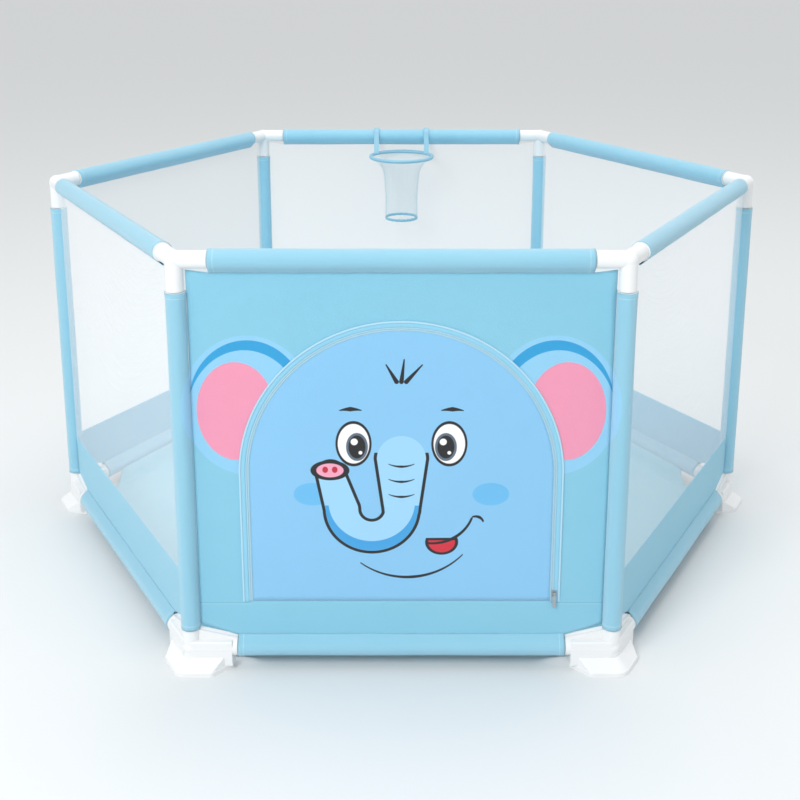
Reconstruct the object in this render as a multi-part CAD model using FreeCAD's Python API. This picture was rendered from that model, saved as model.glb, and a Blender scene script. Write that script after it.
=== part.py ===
import FreeCAD, Part
import math
import os

# A six-sided fabric playpen, in millimetres. +Z is up, the origin lies on the floor at the
# centre of the hexagon, and the side with the zip door faces -Y.

# Overall sizes
side_length = 640.0            # post axis to post axis along one side
top_rail_height = 644.5        # axis of the top rails above the floor
bottom_rail_height = 34.5      # axis of the bottom rails above the floor

# Steel tubes
tube_radius = 10.0
tube_wall = 0.8
socket_clearance = 0.05        # radial, tube in socket
tube_stop = 14.0               # post axis to the end of a rail tube

# Top corner connectors
top_arm_radius = 13.0
top_elbow_radius = 13.7
top_rail_reach = 47.0          # post axis to the end of a rail arm
top_post_reach = 46.0          # rail axis to the end of the post arm
post_tube_rise = 3.5           # post tube above the rail axis
arm_end_round = 0.8

# Bottom corner connectors and their feet
bottom_post_radius = 13.5
bottom_post_top = 65.0
bottom_arm_radius = 14.5
bottom_elbow_radius = 14.7
bottom_rail_reach = 71.0
gusset_thickness = 11.0
gusset_drop = 1.5              # gusset edge above the rail arm at the arm's end
housing_reach = 63.0           # post axis to the end of the block round a rail arm
housing_half_width = 14.3
housing_top = 48.0
housing_round = 2.5
foot_rim = 8.0                 # thickness of the foot at its edge
foot_rim_round = 2.0
foot_shoulder = 22.0           # height where the foot's sloping top ends
foot_outer_offset = 33.0       # rail axis to the foot's outer edge
foot_inner_offset = 21.0       # rail axis to the foot's inner edge
foot_straight = 34.0           # post axis to the cut corner, along a rail
foot_corner_radius = 22.0
foot_cut_radius = 8.0
shoulder_offset = 15.5         # rail axis to the upper edge of the slope
shoulder_straight = 50.0
shoulder_corner_radius = 12.0
post_bore_floor = 22.0         # height of the stop inside the post socket

# Fabric sleeves with foam inside
cloth = 0.8
sleeve_gap = 1.0               # between a sleeve's end and its connector
rail_sleeve_radius = 15.5
post_sleeve_radius = 15.0
seam_depth = 20.0              # rail axis to the seam where the sleeve closes
seam_width = 3.0
foam_clearance = 0.1

# Fabric side panels
panel_thickness = 2.0
panel_gap = 0.3                # between pieces of cloth that meet
panel_corner_cut = 19.0        # post axis to the end of the panel's top edge
skirt_top = 140.0
skirt_corner_height = 72.0     # where the skirt's slanted corner meets the post sleeve

# Zip door in the front panel
door_bottom = 110.0
doorway_radius = 230.0         # half the doorway's width
doorway_headroom = 99.5        # doorway's crown to the axis of the top rail
door_edge_gap = 3.4            # doorway's edge to the door's edge
door_sill_gap = 0.8
zip_teeth_depth = 1.7          # doorway's edge to the teeth's inner side
zip_teeth_width = 1.4
zip_tape_reach = 6.0           # doorway's edge to the tape's outer side
zip_teeth_half = 1.1
zip_tape_thickness = 0.6
zip_overlap = 0.3

# Zip slider and pull
slider_height = 11.0
slider_start = 123.0           # height of the slider's centre with the zip closed
slider_clearance = 0.3
slider_plate = 1.8
slider_back_plate = 1.0
slider_web = 0.9
slider_front_width = 7.0
bridge_lug = 0.8
bridge_stand = 1.6             # bridge bar in front of the slider's plate
bridge_rise = 2.0              # bridge bar above the slider's centre
bridge_bar_radius = 0.7
pull_running_clearance = 0.08
pull_eye_radius = 1.45
pull_eye_width = 2.2
pull_side_gap = 0.25
pull_width = 5.0
pull_thickness = 1.0
pull_length = 24.0

# Floor mat
mat_edge_gap = 22.0            # rail axis to the mat's edge
mat_lift = 0.5
mat_thickness = 2.0

# Ball hoop on the back rail
hoop_radius = 69.0
hoop_wire = 4.0
hoop_drop = 35.5               # rail axis to the ring's plane
hoop_panel_gap = 4.3           # panel's inner face to the ring
hook_spacing = 114.0
hook_width = 11.0
hook_thickness = 2.8
hook_clearance = 0.4           # between a hook and the rail sleeve
hook_outer_angle = -25.0
hook_leave_angle = 150.0
net_wall = 1.2
net_gap = 0.3
net_depth = 143.0
net_mouth_gap = 0.5            # ring's centre line to the net's mouth
net_waist_share = 0.61         # of the ring's radius
net_foot_share = 0.515

# Worked out from the sizes above
apothem = side_length * math.sqrt(3) / 2
half_side = side_length / 2
door_arch_height = top_rail_height - doorway_headroom - doorway_radius
door_radius = doorway_radius - door_edge_gap
zip_teeth_inner = doorway_radius - zip_teeth_depth
zip_teeth_outer = zip_teeth_inner + zip_teeth_width
zip_tape_outer = doorway_radius + zip_tape_reach
net_mouth_radius = hoop_radius - net_mouth_gap
net_waist_radius = hoop_radius * net_waist_share
net_foot_radius = hoop_radius * net_foot_share
rail_sleeve_start = top_rail_reach + sleeve_gap
skirt_sleeve_start = bottom_rail_reach + sleeve_gap
post_sleeve_top = top_rail_height - top_post_reach - sleeve_gap
post_sleeve_bottom = bottom_post_top + sleeve_gap
panel_half_width = half_side - post_sleeve_radius - panel_gap
panel_top = top_rail_height - seam_depth - panel_gap
skirt_seam = bottom_rail_height + seam_depth
slider_inner = door_radius + (zip_teeth_inner - door_radius - slider_web) / 2
bridge_x = slider_inner + slider_front_width / 2
slider_face = -(zip_teeth_half + slider_clearance + slider_plate)
bridge_y = slider_face - bridge_stand
bridge_z = slider_start + bridge_rise
hoop_centre_y = apothem - panel_thickness / 2 - hoop_panel_gap - hoop_radius
hoop_height = top_rail_height - hoop_drop

# The azimuth of each post and of each side's outward normal, in degrees
corners = {
    "front_left": -120.0,
    "front_right": -60.0,
    "right": 0.0,
    "back_right": 60.0,
    "back_left": 120.0,
    "left": 180.0,
}
sides = {
    "front": -90.0,
    "front_right": -30.0,
    "back_right": 30.0,
    "back": 90.0,
    "back_left": 150.0,
    "front_left": 210.0,
}
mesh_sides = [side for side in sides if side != "front"]
arm_azimuths = (120.0, -120.0)

origin = FreeCAD.Vector(0, 0, 0)
x_axis = FreeCAD.Vector(1, 0, 0)
y_axis = FreeCAD.Vector(0, 1, 0)
z_axis = FreeCAD.Vector(0, 0, 1)


def save(name, shape):
    """Write one named node of the pen."""
    shape.exportStep("parts/" + name + ".step")


def moved(shape, offset):
    """A copy of a shape, shifted by an offset."""
    copy = shape.copy()
    copy.translate(FreeCAD.Vector(*offset))
    return copy


def turned(shape, axis, angle):
    """A copy of a shape, turned about an axis through the origin."""
    copy = shape.copy()
    copy.rotate(origin, axis, angle)
    return copy


def box(x_range, y_range, z_range):
    """A block between two values on each axis."""
    lengths = [high - low for low, high in (x_range, y_range, z_range)]
    corner = FreeCAD.Vector(x_range[0], y_range[0], z_range[0])
    return Part.makeBox(*lengths, corner)


def upright_plate(points, thickness):
    """A plate in the XZ plane, centred on it, with the outline given as (x, z) points."""
    ring = [FreeCAD.Vector(x, -thickness / 2, z) for x, z in points]
    face = Part.Face(Part.makePolygon(ring + ring[:1]))
    return face.extrude(FreeCAD.Vector(0, thickness, 0))


def at_corner(shape, azimuth):
    """Place a shape built round a post at the origin, with +X pointing out of the pen."""
    return turned(moved(shape, (side_length, 0, 0)), z_axis, azimuth)


def on_side(shape, azimuth):
    """Place a shape built along X with -Y pointing out of the pen."""
    return turned(moved(shape, (0, -apothem, 0)), z_axis, azimuth + 90.0)


def along_arm(shape, azimuth):
    """Turn a shape built along +X so that it follows one rail arm of a corner."""
    return turned(shape, z_axis, azimuth)


def tube(radius, wall, start, end):
    """A round tube along Z."""
    length = end - start
    outer = Part.makeCylinder(radius, length, FreeCAD.Vector(0, 0, start))
    inner = Part.makeCylinder(radius - wall, length, FreeCAD.Vector(0, 0, start))
    return outer.cut(inner)


def laid_along_x(shape):
    """Turn a shape built along Z so that it runs along X."""
    return turned(shape, y_axis, 90.0)


def rail_tube(height):
    """One rail between two corners, along X."""
    half = half_side - tube_stop
    rail = laid_along_x(tube(tube_radius, tube_wall, -half, half))
    return moved(rail, (0, 0, height))


def post_tube():
    """One upright, from the stop in its foot to just above the top rails' axis."""
    return tube(tube_radius, tube_wall, post_bore_floor, top_rail_height + post_tube_rise)


def arm(radius, reach, height):
    """A solid rail arm along +X with a softened rim at its open end."""
    rod = Part.makeCylinder(radius, reach, FreeCAD.Vector(0, 0, height), x_axis)
    rim = [edge for edge in rod.Edges if edge.BoundBox.XMin > reach - 0.01]
    return rod.makeFillet(arm_end_round, rim)


def socket_bore(reach, height):
    """The hole that takes a rail tube, along +X."""
    start = FreeCAD.Vector(tube_stop, 0, height)
    return Part.makeCylinder(tube_radius + socket_clearance, reach, start, x_axis)


def top_corner():
    """A three-way elbow: two rail arms at 120 degrees and one post arm pointing down."""
    end = top_rail_height - top_post_reach
    post_arm = Part.makeCylinder(top_arm_radius, top_post_reach, FreeCAD.Vector(0, 0, end))
    rim = [edge for edge in post_arm.Edges if edge.BoundBox.ZMax < end + 0.01]
    body = post_arm.makeFillet(arm_end_round, rim)
    body = body.fuse(Part.makeSphere(top_elbow_radius, FreeCAD.Vector(0, 0, top_rail_height)))
    for azimuth in arm_azimuths:
        rail_arm = arm(top_arm_radius, top_rail_reach, top_rail_height)
        body = body.fuse(along_arm(rail_arm, azimuth))
    for azimuth in arm_azimuths:
        bore = socket_bore(top_rail_reach, top_rail_height)
        body = body.cut(along_arm(bore, azimuth))
    post_bore_radius = tube_radius + socket_clearance
    post_bore_length = top_post_reach + post_tube_rise
    post_bore = Part.makeCylinder(post_bore_radius, post_bore_length, FreeCAD.Vector(0, 0, end))
    return body.cut(post_bore).removeSplitter()


def rounded_outline(corner_points, height):
    """A closed flat wire through (point, radius) corners, each turned by its own radius."""
    pieces = []
    last = None
    first = None
    count = len(corner_points)
    for index, (point, radius) in enumerate(corner_points):
        before = (corner_points[index - 1][0] - point).normalize()
        after = (corner_points[(index + 1) % count][0] - point).normalize()
        half_angle = before.getAngle(after) / 2
        cut = radius / math.tan(half_angle)
        bisector = (before + after).normalize()
        middle = point + bisector * (radius / math.sin(half_angle) - radius)
        arrive = point + before * cut
        leave = point + after * cut
        if last is not None:
            pieces.append(Part.makeLine(last, arrive))
        else:
            first = arrive
        pieces.append(Part.Arc(arrive, middle, leave).toShape())
        last = leave
    pieces.append(Part.makeLine(last, first))
    return moved(Part.Wire(pieces), (0, 0, height))


def foot_outline(outer, straight, corner_radius, cut_radius, height):
    """The foot seen from above: it follows both rails, with its outer ends cut off."""
    inner_radius = 1.0
    half = []
    for side in (1, -1):
        angle = math.radians(arm_azimuths[0]) * side
        ahead = FreeCAD.Vector(math.cos(angle), math.sin(angle), 0)
        across = FreeCAD.Vector(math.sin(angle), -math.cos(angle), 0) * side
        half.append([
            (ahead * straight + across * outer, cut_radius),
            (ahead * housing_reach + across * (outer - housing_reach + straight), inner_radius),
            (ahead * housing_reach - across * foot_inner_offset, inner_radius),
        ])
    slant = math.sin(math.radians(60.0))
    tip = (FreeCAD.Vector(outer / slant, 0, 0), corner_radius)
    crotch = (FreeCAD.Vector(-foot_inner_offset / slant, 0, 0), inner_radius)
    return rounded_outline([tip] + half[0] + [crotch] + half[1][::-1], height)


def foot_plate():
    """The wide foot: an upright rim, and a top that slopes up to the rail housings."""
    rim_outline = foot_outline(foot_outer_offset, foot_straight, foot_corner_radius,
                               foot_cut_radius, 0)
    rim = Part.Face(rim_outline).extrude(FreeCAD.Vector(0, 0, foot_rim))
    rim_edges = [edge for edge in rim.Edges if edge.BoundBox.ZMin > foot_rim - 0.01]
    outer_edges = [edge for edge in rim_edges if edge.BoundBox.XMax > foot_straight / 3]
    rim = rim.makeFillet(foot_rim_round, outer_edges)
    slope_foot = foot_outline(foot_outer_offset - foot_rim_round,
                              foot_straight + foot_rim_round / 2,
                              foot_corner_radius - foot_rim_round, foot_cut_radius,
                              foot_rim)
    slope_top = foot_outline(shoulder_offset, shoulder_straight, shoulder_corner_radius,
                             foot_cut_radius / 2, foot_shoulder)
    slope = Part.makeLoft([slope_foot, slope_top], True, True)
    return rim.fuse(slope)


def housing():
    """The block that carries a rail arm down to the foot, along +X."""
    block = box((0, housing_reach), (-housing_half_width, housing_half_width),
                (foot_rim, housing_top))
    long_edges = [edge for edge in block.Edges
                  if edge.BoundBox.ZMin > housing_top - 0.01 and edge.BoundBox.XLength > 1.0]
    return block.makeFillet(housing_round, long_edges)


def gusset():
    """The web that stiffens a rail arm against the post socket, along +X."""
    arm_top = bottom_rail_height + bottom_arm_radius + gusset_drop
    outline = [
        (0, bottom_rail_height),
        (0, bottom_post_top - arm_end_round),
        (bottom_post_radius, bottom_post_top - arm_end_round),
        (bottom_rail_reach, arm_top),
        (bottom_rail_reach, bottom_rail_height),
    ]
    return upright_plate(outline, gusset_thickness)


def bottom_corner():
    """A foot with one upright socket and two rail sockets at 120 degrees."""
    body = foot_plate()
    elbow = Part.makeSphere(bottom_elbow_radius, FreeCAD.Vector(0, 0, bottom_rail_height))
    body = body.fuse(elbow)
    socket_height = bottom_post_top - foot_rim
    socket_base = FreeCAD.Vector(0, 0, foot_rim)
    body = body.fuse(Part.makeCylinder(bottom_post_radius, socket_height, socket_base))
    for azimuth in arm_azimuths:
        rail_arm = arm(bottom_arm_radius, bottom_rail_reach, bottom_rail_height)
        for piece in (rail_arm, housing(), gusset()):
            body = body.fuse(along_arm(piece, azimuth))
    for azimuth in arm_azimuths:
        bore = socket_bore(bottom_rail_reach, bottom_rail_height)
        body = body.cut(along_arm(bore, azimuth))
    bore_base = FreeCAD.Vector(0, 0, post_bore_floor)
    bore_length = bottom_post_top - post_bore_floor
    post_bore = Part.makeCylinder(tube_radius + socket_clearance, bore_length, bore_base)
    return body.cut(post_bore).removeSplitter()


def teardrop(radius, half_length):
    """A solid along X, round at the axis and drawn in to a seam below it."""
    seam_half = seam_width / 2
    reach = math.hypot(seam_half, seam_depth)
    tangent = math.atan2(-seam_depth, seam_half) + math.acos(radius / reach)
    touch_y = radius * math.cos(tangent)
    touch_z = radius * math.sin(tangent)
    right = FreeCAD.Vector(-half_length, touch_y, touch_z)
    top = FreeCAD.Vector(-half_length, 0, radius)
    left = FreeCAD.Vector(-half_length, -touch_y, touch_z)
    seam_left = FreeCAD.Vector(-half_length, -seam_half, -seam_depth)
    seam_right = FreeCAD.Vector(-half_length, seam_half, -seam_depth)
    outline = Part.Wire([
        Part.Arc(right, top, left).toShape(),
        Part.makeLine(left, seam_left),
        Part.makeLine(seam_left, seam_right),
        Part.makeLine(seam_right, right),
    ])
    return Part.Face(outline).extrude(FreeCAD.Vector(2 * half_length, 0, 0))


def sleeve(half_length):
    """A rail's fabric sleeve along X, with its seam hanging below."""
    inner_radius = rail_sleeve_radius - cloth
    start = FreeCAD.Vector(-half_length, 0, 0)
    hollow = Part.makeCylinder(inner_radius, 2 * half_length, start, x_axis)
    return teardrop(rail_sleeve_radius, half_length).cut(hollow)


def top_sleeve():
    """The sleeve of a top rail, at its own height."""
    return moved(sleeve(half_side - rail_sleeve_start), (0, 0, top_rail_height))


def bottom_sleeve():
    """The sleeve of a bottom rail, with its seam on top."""
    upturned = turned(sleeve(half_side - skirt_sleeve_start), x_axis, 180.0)
    return moved(upturned, (0, 0, bottom_rail_height))


def panel_outline(bottom_points, top):
    """Mirror-symmetric outline: bottom corner points on the right, then the cut top corner."""
    right = list(bottom_points)
    right.append((panel_half_width, post_sleeve_top))
    right.append((half_side - panel_corner_cut, top))
    left = [(-x, z) for x, z in reversed(right)]
    return right + left


def skirt_corner(seam):
    """The slanted lower corner that leaves room for the bottom connector."""
    return [(half_side - skirt_sleeve_start, seam), (panel_half_width, skirt_corner_height)]


def mesh_panel():
    """The netting between the skirt and the top sleeve."""
    lower = [(panel_half_width, skirt_top + panel_gap)]
    return upright_plate(panel_outline(lower, panel_top), panel_thickness)


def skirt():
    """The solid band at the foot of a mesh side, closed round the bottom rail."""
    right = skirt_corner(skirt_seam)
    right.append((panel_half_width, skirt_top))
    left = [(-x, z) for x, z in reversed(right)]
    band = upright_plate(right + left, panel_thickness)
    return band.fuse(bottom_sleeve()).removeSplitter()


def arch_plate(radius, bottom, thickness):
    """An upright arch: straight legs from the bottom to the arch's centre, then a half circle."""
    front = -thickness / 2
    left_foot = FreeCAD.Vector(-radius, front, bottom)
    right_foot = FreeCAD.Vector(radius, front, bottom)
    left_spring = FreeCAD.Vector(-radius, front, door_arch_height)
    right_spring = FreeCAD.Vector(radius, front, door_arch_height)
    crown = FreeCAD.Vector(0, front, door_arch_height + radius)
    outline = Part.Wire([
        Part.makeLine(left_foot, right_foot),
        Part.makeLine(right_foot, right_spring),
        Part.Arc(right_spring, crown, left_spring).toShape(),
        Part.makeLine(left_spring, left_foot),
    ])
    return Part.Face(outline).extrude(FreeCAD.Vector(0, thickness, 0))


def front_panel():
    """The solid front cloth with both of its sleeves and the arched doorway."""
    outline = panel_outline(skirt_corner(skirt_seam), top_rail_height - seam_depth)
    cloth_plate = upright_plate(outline, panel_thickness)
    doorway = arch_plate(doorway_radius, door_bottom - door_sill_gap, 2 * panel_thickness)
    whole = cloth_plate.cut(doorway).fuse([top_sleeve(), bottom_sleeve()])
    return whole.removeSplitter()


def door_flap():
    """The door that fills the doorway when the zip is closed."""
    return arch_plate(door_radius, door_bottom, panel_thickness)


def zip_tape():
    """The fixed half of the zip: teeth in the doorway's rim and a tape behind the panel."""
    start = door_bottom + panel_gap
    back = zip_teeth_half + zip_tape_thickness
    teeth_thickness = zip_teeth_half + back
    teeth = arch_plate(zip_teeth_outer, start, teeth_thickness)
    teeth = teeth.cut(arch_plate(zip_teeth_inner, start, teeth_thickness))
    teeth = moved(teeth, (0, back - teeth_thickness / 2, 0))
    tape = arch_plate(zip_tape_outer, start, zip_tape_thickness)
    tape = tape.cut(arch_plate(zip_teeth_outer - zip_overlap, start, zip_tape_thickness))
    tape = moved(tape, (0, back - zip_tape_thickness / 2, 0))
    return teeth.fuse(tape).removeSplitter()


def zip_slider():
    """A slider that wraps the fixed teeth and carries the bridge for its pull."""
    half = slider_height / 2
    z_range = (slider_start - half, slider_start + half)
    front_face = slider_face + slider_plate
    back_face = zip_teeth_half + zip_tape_thickness + slider_clearance
    back_end = back_face + slider_back_plate
    front_plate = box((slider_inner, slider_inner + slider_front_width),
                      (slider_face, front_face), z_range)
    long_edges = [edge for edge in front_plate.Edges if edge.BoundBox.YMax < slider_face + 0.01]
    body = front_plate.makeChamfer(slider_plate / 3, long_edges)
    body = body.fuse(box((slider_inner, slider_inner + slider_web),
                         (front_face - slider_plate / 2, back_end), z_range))
    back_reach = zip_teeth_outer - zip_overlap - slider_clearance
    body = body.fuse(box((slider_inner, back_reach), (back_face, back_end), z_range))
    lug_inner = pull_eye_width / 2 + pull_side_gap
    lug_outer = lug_inner + bridge_lug
    lug_front = bridge_y - pull_eye_radius
    for side in (1, -1):
        lug_x = sorted((bridge_x + side * lug_inner, bridge_x + side * lug_outer))
        lug_z = (bridge_z - pull_eye_radius, bridge_z + pull_eye_radius)
        body = body.fuse(box(lug_x, (lug_front, slider_face + slider_plate / 2), lug_z))
    bar_start = FreeCAD.Vector(bridge_x - lug_outer, bridge_y, bridge_z)
    body = body.fuse(Part.makeCylinder(bridge_bar_radius, 2 * lug_outer, bar_start, x_axis))
    return body.removeSplitter()


def zip_pull():
    """The pull tab that hangs from the slider's bridge by its eye."""
    half_eye = pull_eye_width / 2
    eye_start = FreeCAD.Vector(bridge_x - half_eye, bridge_y, bridge_z)
    eye = Part.makeCylinder(pull_eye_radius, pull_eye_width, eye_start, x_axis)
    half_thickness = pull_thickness / 2
    y_range = (bridge_y - half_thickness, bridge_y + half_thickness)
    neck_end = bridge_z - 3 * pull_eye_radius
    neck = box((bridge_x - half_eye, bridge_x + half_eye), y_range, (neck_end, bridge_z))
    tab = box((bridge_x - pull_width / 2, bridge_x + pull_width / 2), y_range,
              (bridge_z - pull_length, neck_end + pull_thickness))
    corners_to_round = [edge for edge in tab.Edges if edge.BoundBox.YLength > half_thickness]
    tab = tab.makeFillet(pull_width / 4, corners_to_round)
    hole_radius = bridge_bar_radius + pull_running_clearance
    hole = Part.makeCylinder(hole_radius, pull_eye_width, eye_start, x_axis)
    return eye.fuse([neck, tab]).cut(hole).removeSplitter()


def floor_mat():
    """The hexagonal floor cloth inside the bottom rails."""
    vertex_radius = (apothem - mat_edge_gap) / math.cos(math.radians(30.0))
    ring = []
    for azimuth in corners.values():
        angle = math.radians(azimuth)
        x = vertex_radius * math.cos(angle)
        y = vertex_radius * math.sin(angle)
        ring.append(FreeCAD.Vector(x, y, mat_lift))
    face = Part.Face(Part.makePolygon(ring + ring[:1]))
    return face.extrude(FreeCAD.Vector(0, 0, mat_thickness))


def tube_foam():
    """The foam round every tube, hidden inside the sleeves: one solid for each tube."""
    bore = tube_radius + foam_clearance
    rail_foam_radius = rail_sleeve_radius - cloth - foam_clearance
    post_foam_radius = post_sleeve_radius - cloth - foam_clearance
    pieces = []
    for azimuth in sides.values():
        for height, start in ((top_rail_height, rail_sleeve_start),
                              (bottom_rail_height, skirt_sleeve_start)):
            half = half_side - start
            foam = laid_along_x(tube(rail_foam_radius, rail_foam_radius - bore, -half, half))
            pieces.append(on_side(moved(foam, (0, 0, height)), azimuth))
    for azimuth in corners.values():
        wall = post_foam_radius - bore
        foam = tube(post_foam_radius, wall, post_sleeve_bottom, post_sleeve_top)
        pieces.append(at_corner(foam, azimuth))
    return Part.makeCompound(pieces)


def hook(x):
    """One flat hook: it grips the rail sleeve from above and slopes down to the ring."""
    inner = rail_sleeve_radius + hook_clearance
    middle = inner + hook_thickness / 2
    centre = FreeCAD.Vector(x - hook_width / 2, apothem, top_rail_height)
    start = math.radians(hook_outer_angle)
    leave = math.radians(hook_leave_angle)

    def on_arc(radius, angle):
        return centre + FreeCAD.Vector(0, radius * math.cos(angle), radius * math.sin(angle))

    outer = inner + hook_thickness
    halfway = (start + leave) / 2
    slope = FreeCAD.Vector(0, -math.sin(leave), math.cos(leave))
    run = (hoop_height - on_arc(middle, leave).z) / slope.z
    outline = Part.Wire([
        Part.Arc(on_arc(outer, start), on_arc(outer, halfway), on_arc(outer, leave)).toShape(),
        Part.makeLine(on_arc(outer, leave), on_arc(outer, leave) + slope * run),
        Part.makeLine(on_arc(outer, leave) + slope * run, on_arc(inner, leave) + slope * run),
        Part.makeLine(on_arc(inner, leave) + slope * run, on_arc(inner, leave)),
        Part.Arc(on_arc(inner, leave), on_arc(inner, halfway), on_arc(inner, start)).toShape(),
        Part.makeLine(on_arc(inner, start), on_arc(outer, start)),
    ])
    return Part.Face(outline).extrude(FreeCAD.Vector(hook_width, 0, 0))


def hoop():
    """The ring with its two hooks."""
    centre = FreeCAD.Vector(0, hoop_centre_y, hoop_height)
    body = Part.makeTorus(hoop_radius, hoop_wire, centre, z_axis)
    for side in (1, -1):
        body = body.fuse(hook(side * hook_spacing / 2))
    return body.removeSplitter()


def hoop_net():
    """The open tapered net that hangs below the ring."""
    top = hoop_height - hoop_wire - net_gap
    bottom = hoop_height - net_depth
    outer = [
        (net_mouth_radius, top),
        (net_waist_radius, top - net_depth / 5),
        (net_foot_radius + net_wall, top - net_depth / 2),
        (net_foot_radius, bottom),
    ]
    inner = [(radius - net_wall, height) for radius, height in reversed(outer)]
    ring = [FreeCAD.Vector(radius, 0, height) for radius, height in outer + inner]
    face = Part.Face(Part.makePolygon(ring + ring[:1]))
    net = face.revolve(origin, z_axis, 360.0)
    return moved(net, (0, hoop_centre_y, 0))


os.makedirs("parts", exist_ok=True)

top_corner_shape = top_corner()
bottom_corner_shape = bottom_corner()
post_sleeve_shape = tube(post_sleeve_radius, cloth, post_sleeve_bottom, post_sleeve_top)
for corner, azimuth in corners.items():
    save("post_tube_" + corner, at_corner(post_tube(), azimuth))
    save("post_sleeve_" + corner, at_corner(post_sleeve_shape, azimuth))
    save("top_corner_" + corner, at_corner(top_corner_shape, azimuth))
    save("bottom_corner_" + corner, at_corner(bottom_corner_shape, azimuth))

for side, azimuth in sides.items():
    save("top_rail_" + side, on_side(rail_tube(top_rail_height), azimuth))
    save("bottom_rail_" + side, on_side(rail_tube(bottom_rail_height), azimuth))

skirt_shape = skirt()
for side in mesh_sides:
    save("rail_sleeve_" + side, on_side(top_sleeve(), sides[side]))
    save("mesh_panel_" + side, on_side(mesh_panel(), sides[side]))
    save("skirt_" + side, on_side(skirt_shape, sides[side]))

front = sides["front"]
save("front_panel", on_side(front_panel(), front))
save("door_flap", on_side(door_flap(), front))
save("zip_tape", on_side(zip_tape(), front))
save("zip_slider", on_side(zip_slider(), front))
save("zip_pull", on_side(zip_pull(), front))

save("floor_mat", floor_mat())
save("tube_foam", tube_foam())
save("hoop", hoop())
save("hoop_net", hoop_net())
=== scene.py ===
import bpy
import bmesh
import math
from mathutils import Matrix, Vector, noise


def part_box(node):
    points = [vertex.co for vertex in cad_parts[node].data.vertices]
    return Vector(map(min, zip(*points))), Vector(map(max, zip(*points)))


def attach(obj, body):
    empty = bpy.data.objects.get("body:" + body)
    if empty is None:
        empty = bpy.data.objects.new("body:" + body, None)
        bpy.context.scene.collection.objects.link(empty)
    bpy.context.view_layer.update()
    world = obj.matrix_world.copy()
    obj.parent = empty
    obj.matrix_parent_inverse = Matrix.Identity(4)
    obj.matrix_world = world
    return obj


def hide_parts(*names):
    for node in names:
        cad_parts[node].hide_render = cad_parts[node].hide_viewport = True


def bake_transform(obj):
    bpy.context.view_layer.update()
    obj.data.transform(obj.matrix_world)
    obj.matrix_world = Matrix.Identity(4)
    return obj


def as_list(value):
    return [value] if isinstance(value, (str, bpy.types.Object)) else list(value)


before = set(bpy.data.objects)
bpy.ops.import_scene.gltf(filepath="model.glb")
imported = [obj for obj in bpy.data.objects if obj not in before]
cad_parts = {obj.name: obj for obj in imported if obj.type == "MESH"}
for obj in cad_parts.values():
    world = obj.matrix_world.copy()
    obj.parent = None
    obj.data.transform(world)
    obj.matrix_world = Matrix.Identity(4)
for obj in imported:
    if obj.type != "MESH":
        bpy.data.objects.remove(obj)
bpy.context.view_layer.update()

# ---------------------------------------------------------------------------
# Sizes, in metres, read from the frame
# ---------------------------------------------------------------------------


def middle(node):
    """The centre of a CAD node's box."""
    low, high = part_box(node)
    return (Vector(low) + Vector(high)) / 2


def half_size(node):
    """Half the lengths of a CAD node's box."""
    low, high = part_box(node)
    return (Vector(high) - Vector(low)) / 2


side_length = middle("post_tube_right").x
half_side = side_length / 2
apothem = -middle("top_rail_front").y
top_rail = middle("top_rail_front").z
bottom_rail = middle("bottom_rail_front").z
post_sleeve_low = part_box("post_sleeve_right")[0][2]
post_sleeve_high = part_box("post_sleeve_right")[1][2]
post_radius = half_size("post_sleeve_right").y
rail_radius = half_size("rail_sleeve_back").y
rail_sleeve_half = half_size("rail_sleeve_back").x
seam_depth = top_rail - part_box("rail_sleeve_back")[0][2]
panel_half = half_size("mesh_panel_back").x
panel_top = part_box("mesh_panel_back")[1][2]
skirt_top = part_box("skirt_back")[1][2]
door_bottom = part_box("door_flap")[0][2]
door_radius = half_size("door_flap").x
arch_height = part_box("door_flap")[1][2] - door_radius
mat_apothem = half_size("floor_mat").y
skirt_seam = bottom_rail + seam_depth

CORNERS = {
    "front_left": -120.0,
    "front_right": -60.0,
    "right": 0.0,
    "back_right": 60.0,
    "back_left": 120.0,
    "left": 180.0,
}
SIDES = {
    "front": -90.0,
    "front_right": -30.0,
    "back_right": 30.0,
    "back": 90.0,
    "back_left": 150.0,
    "front_left": 210.0,
}
MESH_SIDES = [side for side in SIDES if side != "front"]

# Sewn details
CLOTH = 0.0007
HEM = 0.008
HEM_RISE = 0.0003
HEM_STEP = 0.001
STITCH_PITCH = 0.0030
STITCH_SHARE = 0.7
STITCH_HALF_WIDTH = 0.0004
WEAVE_PITCH = 0.0007
WEAVE_DEPTH = 0.00012
RAIL_SEAM = 0.012
CORNER_CUT = 0.072
CORNER_GAP = 0.015
SKIRT_SLEEVE_HALF = half_side - CORNER_CUT
SKIRT_CORNER_HEIGHT = CORNER_CUT
PANEL_CORNER_HALF = half_side - CORNER_GAP
PANEL_CORNER_TOP = top_rail - CORNER_GAP
SEAM_LAP = 0.002
PANEL_OUTLINE = [
    (SKIRT_SLEEVE_HALF, skirt_seam - SEAM_LAP),
    (panel_half, SKIRT_CORNER_HEIGHT),
    (panel_half, post_sleeve_high),
    (PANEL_CORNER_HALF, PANEL_CORNER_TOP),
    (rail_sleeve_half, panel_top + 0.001),
]
ZIP_OUTER = door_radius + 0.0034
BINDING = 0.009
HOOP_PLEATS = 20.0
MILLIMETRES = 1000.0


def side_place(side):
    """Where a piece goes that was made along X with -Y pointing out of the pen."""
    turn = Matrix.Rotation(math.radians(SIDES[side] + 90.0), 4, "Z")
    return turn @ Matrix.Translation((0.0, -apothem, 0.0))


def corner_place(corner):
    """Where a piece goes that was made round the Z axis with +X pointing out of the pen."""
    turn = Matrix.Rotation(math.radians(CORNERS[corner]), 4, "Z")
    return turn @ Matrix.Translation((side_length, 0.0, 0.0))


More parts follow.
